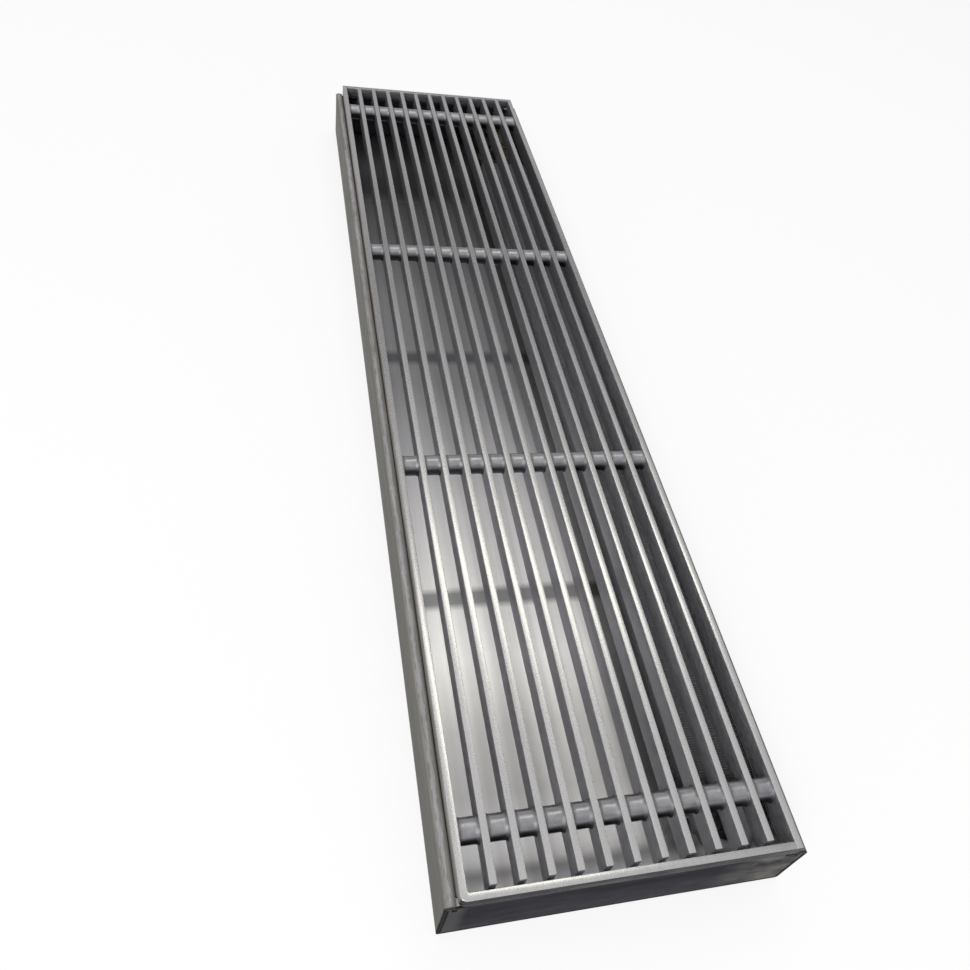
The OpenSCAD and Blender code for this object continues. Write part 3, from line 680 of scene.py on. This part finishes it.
def smoothByAngle(mesh, degrees):
    for face in mesh.polygons:
        face.use_smooth = True
    shape = bmesh.new()
    shape.from_mesh(mesh)
    limit = math.radians(degrees)
    for edge in shape.edges:
        edge.smooth = len(edge.link_faces) == 2 and edge.calc_face_angle(0.0) < limit
    shape.to_mesh(mesh)
    shape.free()


def finishMesh(shape, name, smoothAngle=35.0):
    bmesh.ops.remove_doubles(shape, verts=shape.verts, dist=1e-6)
    bmesh.ops.recalc_face_normals(shape, faces=shape.faces)
    mesh = bpy.data.meshes.new(name)
    shape.to_mesh(mesh)
    shape.free()
    smoothByAngle(mesh, smoothAngle)
    return mesh


# A piece that stands for one CAD node, with its finish on it
def singlePiece(name, shape, node, body, slotName, smoothAngle=35.0):
    obj = newObject(name, finishMesh(shape, name, smoothAngle), body, slotName)
    obj.data.materials.append(finishes[slotName])
    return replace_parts(obj, node)


# Rows: copies one step apart, each turned by chance about one axis, cut level above and below
rowInputs = {
    "Count": 1, "Step": (0.0, 0.0, 0.0), "First Place": (0.0, 0.0, 0.0), "Turn Axis": (0.0, 0.0, 0.0),
    "Turn Low": 0.0, "Turn High": 0.0, "Flat Top": 1.0, "Seed": 0, "Finish": None,
}


def makeRowTree():
    tree, start, end = newTree("pieceRow", rowInputs, ("Geometry",), "GeometryNodeTree")
    line = socketOf(
        tree, "GeometryNodeMeshLine",
        {"Count": start["Count"], "Start Location": start["First Place"], "Offset": start["Step"]},
        mode="OFFSET",
    )
    chance = socketOf(
        tree, "FunctionNodeRandomValue",
        {2: start["Turn Low"], 3: start["Turn High"], "Seed": start["Seed"]}, 1, data_type="FLOAT",
    )
    turn = socketOf(tree, "ShaderNodeVectorMath", {0: start["Turn Axis"], "Scale": chance}, operation="SCALE")
    copies = socketOf(
        tree, "GeometryNodeInstanceOnPoints",
        {"Points": line, "Instance": start["Geometry"], "Rotation": turn},
    )
    shade = socketOf(tree, "FunctionNodeRandomValue", {"Seed": start["Seed"]}, 1, data_type="FLOAT")
    marked = socketOf(
        tree, "GeometryNodeStoreNamedAttribute",
        {"Geometry": copies, "Name": "pieceShade", "Value": shade}, data_type="FLOAT", domain="INSTANCE",
    )
    real = socketOf(tree, "GeometryNodeRealizeInstances", {"Geometry": marked})
    place = addNode(tree, "ShaderNodeSeparateXYZ", {0: socketOf(tree, "GeometryNodeInputPosition")}).outputs
    middle = socketOf(tree, "ShaderNodeSeparateXYZ", {0: start["First Place"]}, "Z")
    level = mathNode(tree, "MINIMUM", place["Z"], mathNode(tree, "ADD", middle, start["Flat Top"]))
    level = mathNode(tree, "MAXIMUM", level, mathNode(tree, "SUBTRACT", middle, start["Flat Top"]))
    cut = socketOf(tree, "ShaderNodeCombineXYZ", {"X": place["X"], "Y": place["Y"], "Z": level})
    flat = socketOf(tree, "GeometryNodeSetPosition", {"Geometry": real, "Position": cut})
    done = socketOf(tree, "GeometryNodeSetMaterial", {"Geometry": flat, "Material": start["Finish"]})
    tree.links.new(done, end["Geometry"])
    return tree


rowTree = makeRowTree()


# The row's modifier with its inputs set, turned into a plain mesh
def makeRow(obj, **inputs):
    wanted = {**rowInputs, **{key.replace("_", " "): value for key, value in inputs.items()}}
    modifier = obj.modifiers.new(rowTree.name, "NODES")
    modifier.node_group = rowTree
    for item in rowTree.interface.items_tree:
        if item.in_out == "INPUT" and item.name in wanted:
            modifier[item.identifier] = wanted[item.name]
    bpy.context.view_layer.update()
    seen = obj.evaluated_get(bpy.context.evaluated_depsgraph_get())
    mesh = bpy.data.meshes.new_from_object(seen)
    obj.modifiers.remove(modifier)
    mesh.name = obj.name
    obj.data = mesh


# Flat bars: softened edges, and notched from below where they rest
flatBarValues = {"notchLength": 0.0076, "notchTop": 0.054, "edge": 0.00035, "edgeSteps": 2}


def straightBar(node, values, nearNotch, farNotch):
    low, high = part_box(node)
    near, far, notchTop = low.y + nearNotch, high.y - farNotch, values["notchTop"]
    nearEnd = [(low.y, notchTop), (near, notchTop)] if nearNotch else []
    farEnd = [(far, notchTop), (high.y, notchTop)] if farNotch else []
    outline = [*nearEnd, (near, low.z), (far, low.z), *farEnd, (high.y, high.z), (low.y, high.z)]
    shape = bmesh.new()
    first, last = ([shape.verts.new((x, y, z)) for y, z in outline] for x in (low.x, high.x))
    shape.faces.new(first)
    shape.faces.new(reversed(last))
    for i in range(len(outline)):
        j = (i + 1) % len(outline)
        shape.faces.new((first[j], first[i], last[i], last[j]))
    bmesh.ops.recalc_face_normals(shape, faces=shape.faces)
    bevelAll(shape, values["edge"], values["edgeSteps"])
    return shape


# Grate bars: one bar, repeated across the frame
barRowValues = {"count": 11, "pitch": 0.01875, "seed": 4}


def makeGrateBars(values, barValues):
    farNotch = barValues["notchLength"] - (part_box("frame_bar_right")[1].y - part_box("grate_bar_1")[1].y)
    shape = straightBar("grate_bar_1", barValues, 0, farNotch)
    obj = newObject("grate_bars", finishMesh(shape, "grate_bars"), "grate", "grate_steel")
    makeRow(
        obj, Count=values["count"], Step=(values["pitch"], 0.0, 0.0), Seed=values["seed"],
        Finish=finishes["grate_steel"],
    )
    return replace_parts(obj, *[f"grate_bar_{i + 1}" for i in range(values["count"])])


# Frame: the bar bent round the near left corner; the two others are straight
bendValues = {"thick": 0.005, "outerRadius": 0.0045, "innerRadius": 0.0015, "steps": 10, "flatAngle": 0.5}


def makeBentBar(values, barValues):
    low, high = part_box("frame_bar_bent")
    thick, outer, inner, steps = (values[key] for key in ("thick", "outerRadius", "innerRadius", "steps"))
    notch, notchTop = barValues["notchLength"], barValues["notchTop"]
    corner = thick + inner
    stations = [((low.x, y), (low.x + thick, y)) for y in (high.y, high.y - notch, low.y + notch)]
    stations += zip(
        arcPoints((low.x + outer, low.y + outer), outer, 180, 270, steps),
        arcPoints((low.x + corner, low.y + corner), inner, 180, 270, steps),
    )
    stations.append(((high.x, low.y), (high.x, low.y + thick)))
    shape = bmesh.new()
    rings = []
    for out, back in stations:
        section = ((out, high.z), (back, high.z), (back, notchTop), (out, notchTop))
        rings.append([shape.verts.new((*place, z)) for place, z in section])
    for first, last in zip(rings, rings[1:]):
        for i in range(4):
            j = (i + 1) % 4
            if first is rings[1] and i == 2:
                continue
            shape.faces.new((first[i], first[j], last[j], last[i]))
    shape.faces.new(rings[0])
    shape.faces.new(reversed(rings[-1]))
    # between the notches the bar reaches down to its full height
    feet = [[shape.verts.new((v.co.x, v.co.y, low.z)) for v in ring[2:]] for ring in rings[1:3]]
    (a, b), (c, d) = feet
    shape.faces.new((a, c, d, b))
    shape.faces.new((rings[1][2], rings[2][2], c, a))
    shape.faces.new((rings[1][3], b, d, rings[2][3]))
    shape.faces.new((rings[1][2], a, b, rings[1][3]))
    shape.faces.new((rings[2][2], rings[2][3], d, c))
    bmesh.ops.recalc_face_normals(shape, faces=shape.faces)
    dissolveFlat(shape, values["flatAngle"])
    bevelAll(shape, barValues["edge"], barValues["edgeSteps"])
    return singlePiece("bent_frame_bar", shape, "frame_bar_bent", "grate", "grate_steel")


# Spacers: short round tubes between the bars, welded to them all round
spacerValues = {
    "rows": 4, "count": 12, "pitch": 0.01875, "radius": 0.0086, "weldLength": 0.0034, "weldHeight": 0.0010,
    "weldSteps": 7, "beadLength": 0.0024, "beadGain": 1.4, "middlePlaces": (-0.75, -0.4, 0.0, 0.4, 0.75),
    "segments": 64, "lump": 0.00012, "lumps": (2, 3, 5, 7), "lumpHeights": (0.3, 1.0), "lumpShift": 1.7,
    "ripple": 0.00003, "ripples": 21, "rippleShift": 2.0, "smoothAngle": 60.0, "flatTop": 0.00885,
    "quietRows": (1, 2), "seed": 11,
}


# Rings of one spacer: how far along each lies, and its radius before the weld's lumps
def spacerProfile(values, halfGap):
    length, rise, radius = values["weldLength"], values["weldHeight"], values["radius"]
    weld = []
    for i in range(values["weldSteps"] + 1):
        turn = i / values["weldSteps"] * math.pi / 2
        weld.append((halfGap - length + length * math.sin(turn), radius + rise - rise * math.cos(turn)))
    middle = [(u * (halfGap - length), radius) for u in values["middlePlaces"]]
    return [(-u, r) for u, r in reversed(weld)] + middle + weld


def makeSpacerMesh(values, halfGap):
    count, bare = values["segments"], halfGap - values["beadLength"]
    draw = random.Random(values["seed"])
    waves = [(n, draw.uniform(0, math.tau), draw.uniform(*values["lumpHeights"])) for n in values["lumps"]]
    shape = bmesh.new()
    bead = shape.verts.layers.float.new("weldBead")
    rings = []
    for u, r in spacerProfile(values, halfGap):
        side = 0 if u < 0 else 1
        share = max(0.0, (abs(u) - bare) / values["beadLength"])
        fade = math.sin(min(1.0, share * values["beadGain"]) * math.pi / 2)
        ring = []
        shift = values["lumpShift"] * side
        for k in range(count):
            turn = math.tau * k / count
            lump = sum(a * math.sin(n * turn + p + shift) for n, p, a in waves) / len(waves)
            ripple = math.sin(values["ripples"] * turn + values["rippleShift"] * side)
            out = r + fade * (values["lump"] * lump + values["ripple"] * ripple)
            vert = shape.verts.new((u, out * math.sin(turn), out * math.cos(turn)))
            vert[bead] = fade
            ring.append(vert)
        rings.append(ring)
    for first, last in zip(rings, rings[1:]):
        for k in range(count):
            j = (k + 1) % count
            shape.faces.new((first[k], last[k], last[j], first[j]))
    shape.faces.new(rings[0])
    shape.faces.new(reversed(rings[-1]))
    return finishMesh(shape, "weldedSpacer", values["smoothAngle"])


def makeSpacerRows(values):
    low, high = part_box("spacer_row_1")
    halfGap = (high.x - low.x - (values["count"] - 1) * values["pitch"]) / 2
    spacer = makeSpacerMesh(values, halfGap)
    made = []
    for i in range(values["rows"]):
        node = f"spacer_row_{i + 1}"
        low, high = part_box(node)
        middle = (low + high) / 2
        obj = newObject(f"welded_spacers_{i + 1}", spacer.copy(), "grate", "rod_steel")
        makeRow(
            obj, Count=values["count"], Step=(values["pitch"], 0.0, 0.0), Seed=values["seed"] + i,
            First_Place=(low.x + halfGap, middle.y, middle.z), Turn_Axis=(1.0, 0.0, 0.0),
            Turn_High=math.tau, Flat_Top=values["flatTop"], Finish=finishes["rod_steel"],
        )
        # the middle rows leave no mirror image in the photographed floor
        obj.visible_glossy = obj.visible_shadow = i not in values["quietRows"]
        made.append(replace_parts(obj, node))
    return made


# Tray: one folded sheet, a little uneven as real sheet is
trayValues = {
    "sheet": 0.002, "fold": 0.0025, "lipFold": 0.00205, "rimWidth": 0.0081, "lipHeight": 0.007,
    "height": 0.054, "foldSteps": 5, "floorSteps": 34, "wallSteps": 8, "stations": 110, "smoothAngle": 40.0,
    "waveLengths": (0.35, 1.0), "waveHeights": (0.3, 1.0), "rimWaves": (5, 0.5), "wallWaves": (4, 0.7),
    "floorWaves": (4, 0.45), "floorSets": 3, "floorPhase": 6.0, "floorBend": (0.3, 9), "floorSwell": 0.00022,
    "floorGain": 2.5, "floorHigh": 0.006, "floorEdge": 0.004, "wallSwell": 0.00025, "wallInset": 0.001,
    "rimDip": 0.00022, "rimFrom": 0.8, "rimFade": 0.2, "quietFrom": 0.045, "quietFade": 0.02, "seed": 3,
}


def linePoints(first, last, steps):
    return [
        (first[0] + (last[0] - first[0]) * i / steps, first[1] + (last[1] - first[1]) * i / steps)
        for i in range(steps + 1)
    ]


# The section from the middle of the floor to the lip's edge, on the face that lies `depth` in from outside,
# with its mirror image before it
def traySection(values, half, depth):
    fold, top, steps = values["fold"], values["height"], values["foldSteps"]
    radius, lipFold = fold - depth, values["lipFold"]
    points = linePoints((0.0, depth), (half - fold, depth), values["floorSteps"] // 2)[:-1]
    points += arcPoints((half - fold, fold), radius, -90, 0, steps)
    points += linePoints((half - depth, fold), (half - depth, top - fold), values["wallSteps"])[1:-1]
    points += arcPoints((half - fold, top - fold), radius, 0, 90, steps)
    points += arcPoints((half - values["rimWidth"] + lipFold, top - lipFold), lipFold - depth, 90, 180, steps)
    points.append((half - values["rimWidth"] + depth, top - values["lipHeight"]))
    return [(-x, z) for x, z in reversed(points[1:])] + points


def makeWaves(draw, values, count, longest):
    lengths, heights = values["waveLengths"], values["waveHeights"]
    return [
        (draw.uniform(*lengths) * longest, draw.uniform(0, math.tau), draw.uniform(*heights))
        for _ in range(count)
    ]


def waveAt(waves, y):
    total = sum(a * math.sin(math.tau * y / length + p) for length, p, a in waves)
    return 0.5 + 0.5 * total / sum(a for _, _, a in waves)


# How the sheet's unevenness moves a point: the floor swells, the walls lean in and the rims dip
def makeUnevenness(values, half):
    draw = random.Random(values["seed"])
    rimWaves = {s: makeWaves(draw, values, *values["rimWaves"]) for s in (-1, 1)}
    wallWaves = {s: makeWaves(draw, values, *values["wallWaves"]) for s in (-1, 1)}
    floorWaves = [
        (makeWaves(draw, values, *values["floorWaves"]), draw.uniform(0, values["floorPhase"]))
        for _ in range(values["floorSets"])
    ]
    bend, bends = values["floorBend"]
    wallWidth = values["rimWidth"] + values["wallInset"]
    wallFrom = half - values["rimWidth"] - values["wallInset"]

    def moved(x, y, z):
        side = 1 if x > 0 else -1
        out = max(0.0, (abs(x) - wallFrom) / wallWidth)
        up = z / values["height"]
        flat = max(0.0, 1.0 - z / values["floorHigh"]) * max(0.0, 1.0 - abs(x) / (half - values["floorEdge"]))
        quiet = 1.0 - min(1.0, max(0.0, (x - values["quietFrom"]) / values["quietFade"]))
        swell = sum(waveAt(w, y + bend * math.sin(bends * x + p)) for w, p in floorWaves) / len(floorWaves)
        dip = waveAt(rimWaves[side], y) * max(0.0, (up - values["rimFrom"]) / values["rimFade"])
        lean = waveAt(wallWaves[side], y) * math.sin(math.pi * min(1.0, up)) * out
        lift = values["floorSwell"] * swell * min(1.0, values["floorGain"] * flat) * quiet
        return (x - side * values["wallSwell"] * lean, y, z + lift - values["rimDip"] * dip)

    return moved


def makeTray(values):
    low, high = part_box("tray_pan")
    moved = makeUnevenness(values, high.x)
    outer, inner = (traySection(values, high.x, depth) for depth in (0.0, values["sheet"]))
    shape = bmesh.new()
    rings = []
    for i in range(values["stations"] + 1):
        y = low.y + (high.y - low.y) * i / values["stations"]
        rings.append([[shape.verts.new(moved(x, y, z)) for x, z in section] for section in (outer, inner)])
    count = len(outer)
    for (a, b), (c, d) in zip(rings, rings[1:]):
        for k in range(count - 1):
            shape.faces.new((a[k], a[k + 1], c[k + 1], c[k]))
            shape.faces.new((b[k + 1], b[k], d[k], d[k + 1]))
        shape.faces.new((a[0], c[0], d[0], b[0]))
        shape.faces.new((a[-1], b[-1], d[-1], c[-1]))
    for a, b in (rings[0], rings[-1]):
        for k in range(count - 1):
            shape.faces.new((a[k], b[k], b[k + 1], a[k + 1]))
    return singlePiece("folded_tray", shape, "tray_pan", "tray", "tray_steel", values["smoothAngle"])


# Coil fins: thin plates with two tube holes, four to each one of the CAD, repeated along the coil
finValues = {"thick": 0.00025, "pitch": 0.002, "hole": 0.0063, "holeSides": 8, "lean": 0.006, "seed": 21}


def makeFinMesh(values, low, high, tubes):
    thick, sides = values["thick"], values["holeSides"]
    first = 180 / sides
    loops = [[(low.x, low.z), (high.x, low.z), (high.x, high.z), (low.x, high.z)]]
    loops += [arcPoints(tube, values["hole"], first, 360 + first, sides)[:-1] for tube in tubes]
    shape = bmesh.new()
    faces = []
    for y in (-thick / 2, thick / 2):
        made, edges = [], []
        for loop in loops:
            verts = [shape.verts.new((x, y, z)) for x, z in loop]
            edges += [shape.edges.new((verts[i - 1], verts[i])) for i in range(len(verts))]
            made.append(verts)
        bmesh.ops.triangle_fill(shape, edges=edges, use_beauty=True)
        faces.append(made)
    for front, back in zip(*faces):
        for i in range(len(front)):
            shape.faces.new((front[i - 1], front[i], back[i], back[i - 1]))
    return finishMesh(shape, "coilFin")


def makeFins(values):
    low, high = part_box("coil_fins")
    middle = (low.x + high.x) / 2
    tubes = []
    for node in ("flow_tube", "return_tube"):
        first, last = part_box(node)
        tubes.append(((first.x + last.x) / 2 - middle, (first.z + last.z) / 2))
    aside = Vector((middle, 0.0, 0.0))
    fin = makeFinMesh(values, low - aside, high - aside, tubes)
    obj = newObject("fin_stack", fin, "tray", "coil_coating")
    makeRow(
        obj, Count=round((high.y - low.y - values["thick"]) / values["pitch"]) + 1,
        Step=(0.0, values["pitch"], 0.0), First_Place=(middle, low.y + values["thick"] / 2, 0.0),
        Turn_Axis=(0.0, 0.0, 1.0), Turn_Low=-values["lean"], Turn_High=values["lean"], Seed=values["seed"],
        Finish=finishes["coil_coating"],
    )
    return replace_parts(obj, "coil_fins")


# End plates: the CAD shape with its edges broken, a little clear of the tray's walls
plateValues = {
    "edge": 0.0003, "edgeSteps": 2, "sharpAngle": 40.0, "smoothAngle": 30.0, "flatAngle": 0.6, "joined": 2e-6,
    "sideGap": 0.0004, "sideReach": 0.0001,
}


def softenPlate(node, values):
    shape = bmesh.new()
    shape.from_mesh(nodes[node].data)
    bmesh.ops.remove_doubles(shape, verts=shape.verts, dist=values["joined"])
    dissolveFlat(shape, values["flatAngle"])
    widest = max(v.co.x for v in shape.verts)
    for vert in shape.verts:
        if abs(vert.co.x) > widest - values["sideReach"]:
            vert.co.x -= math.copysign(values["sideGap"], vert.co.x)
    bevelAll(shape, values["edge"], values["edgeSteps"], values["sharpAngle"])
    body = nodes[node]["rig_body"]
    return singlePiece(node + "_softened", shape, node, body, "plate_steel", values["smoothAngle"])


pieces = [makeGrateBars(barRowValues, flatBarValues), makeBentBar(bendValues, flatBarValues)]
notched = flatBarValues["notchLength"]
frameBars = (("frame_bar_right", "right_frame_bar", notched), ("frame_bar_far", "far_frame_bar", 0))
for node, name, notch in frameBars:
    shape = straightBar(node, flatBarValues, notch, notch)
    pieces.append(singlePiece(name, shape, node, "grate", "grate_steel"))
print("grate bars and frame built")
pieces += makeSpacerRows(spacerValues)
print("spacers built")
pieces.append(makeTray(trayValues))
print("tray built")
pieces.append(makeFins(finValues))
print("coil fins built")
pieces += [softenPlate(node, plateValues) for node in ("end_plate_near", "end_plate_far")]
print("end plates built")
# the tie rods inside the quiet spacers follow them
for i in spacerValues["quietRows"]:
    rod = nodes[f"tie_rod_{i + 1}"]
    rod.visible_glossy = rod.visible_shadow = False
for obj in pieces:
    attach(obj, obj["planBody"])


# The place it stands in: a pale floor, a dim room and soft panels
floorValues = {
    "radius": 9.0, "segments": 96, "light": (0.90, 0.90, 0.895), "darker": 0.985, "whiteShare": 0.78,
    "cloud": {"Scale": (2.0, 2.0, 2.0), "Low": 0.2, "High": 0.8},
}
roomValues = {
    "tint": (0.98, 0.968, 1.0, 1.0),
    "sky": ((0.0, 0.92), (0.33, 0.92), (0.41, 0.34), (0.52, 0.36), (0.66, 0.62), (0.80, 0.82), (1.0, 0.90)),
}
panelValues = {
    "overPanel": {
        "place": (0.42, 0.66, 2.05), "aim": (0.0, -0.25, 0.0), "size": (1.25, 0.30), "watts": 4.0,
        "colour": (1.0, 0.985, 0.86),
    },
    "keyPanel": {
        "place": (-1.5, -2.1, 2.3), "aim": (0.0, 0.0, 0.0), "size": (1.4, 1.2), "watts": 55.0,
        "colour": (1.0, 1.0, 1.0),
    },
}


def emptyTree(owner):
    owner.use_nodes = True
    owner.node_tree.nodes.clear()
    return owner.node_tree


def makeFloor(values):
    mesh = bpy.data.meshes.new("studioFloor")
    shape = bmesh.new()
    bmesh.ops.create_circle(shape, cap_ends=True, segments=values["segments"], radius=values["radius"])
    shape.to_mesh(mesh)
    shape.free()
    floor = addObject("studioFloor", mesh)
    material = bpy.data.materials.new("studioFloor")
    tree = emptyTree(material)
    cloud = maskOf(tree, clouds, **values["cloud"])
    colour = mixColour(tree, cloud, values["light"], tuple(c * values["darker"] for c in values["light"]))
    matte = socketOf(tree, "ShaderNodeBsdfDiffuse", {"Color": colour})
    white = socketOf(tree, "ShaderNodeEmission", {"Color": (1.0, 1.0, 1.0, 1.0), "Strength": 1.0})
    path = addNode(tree, "ShaderNodeLightPath").outputs
    seen = mathNode(tree, "MAXIMUM", path["Is Camera Ray"], path["Is Glossy Ray"])
    seen = mathNode(tree, "MAXIMUM", seen, path["Is Transmission Ray"])
    share = times(tree, seen, values["whiteShare"])
    mixed = socketOf(tree, "ShaderNodeMixShader", {0: share, 1: matte, 2: white})
    addNode(tree, "ShaderNodeOutputMaterial", {"Surface": mixed})
    mesh.materials.append(material)


def makeRoom(values):
    world = bpy.data.worlds.new("studioRoom")
    bpy.context.scene.world = world
    tree = emptyTree(world)
    ways = socketOf(tree, "ShaderNodeTexCoord", output="Generated")
    light = greyRamp(tree, socketOf(tree, "ShaderNodeSeparateXYZ", {0: ways}, "Z"), values["sky"])
    glow = socketOf(tree, "ShaderNodeBackground", {"Color": values["tint"], "Strength": light})
    addNode(tree, "ShaderNodeOutputWorld", {"Surface": glow})


def makePanel(name, values):
    lamp = bpy.data.lights.new(name, "AREA")
    lamp.shape = "RECTANGLE"
    lamp.size, lamp.size_y = values["size"]
    lamp.energy = values["watts"]
    lamp.color = values["colour"]
    panel = addObject(name, lamp)
    place, aim = Vector(values["place"]), Vector(values["aim"])
    turn = (aim - place).to_track_quat("-Z", "Y").to_matrix().to_4x4()
    panel.matrix_world = Matrix.Translation(place) @ turn


makeFloor(floorValues)
makeRoom(roomValues)
for name, values in panelValues.items():
    makePanel(name, values)
bpy.context.scene.view_settings.view_transform = "Standard"
print("studio built")
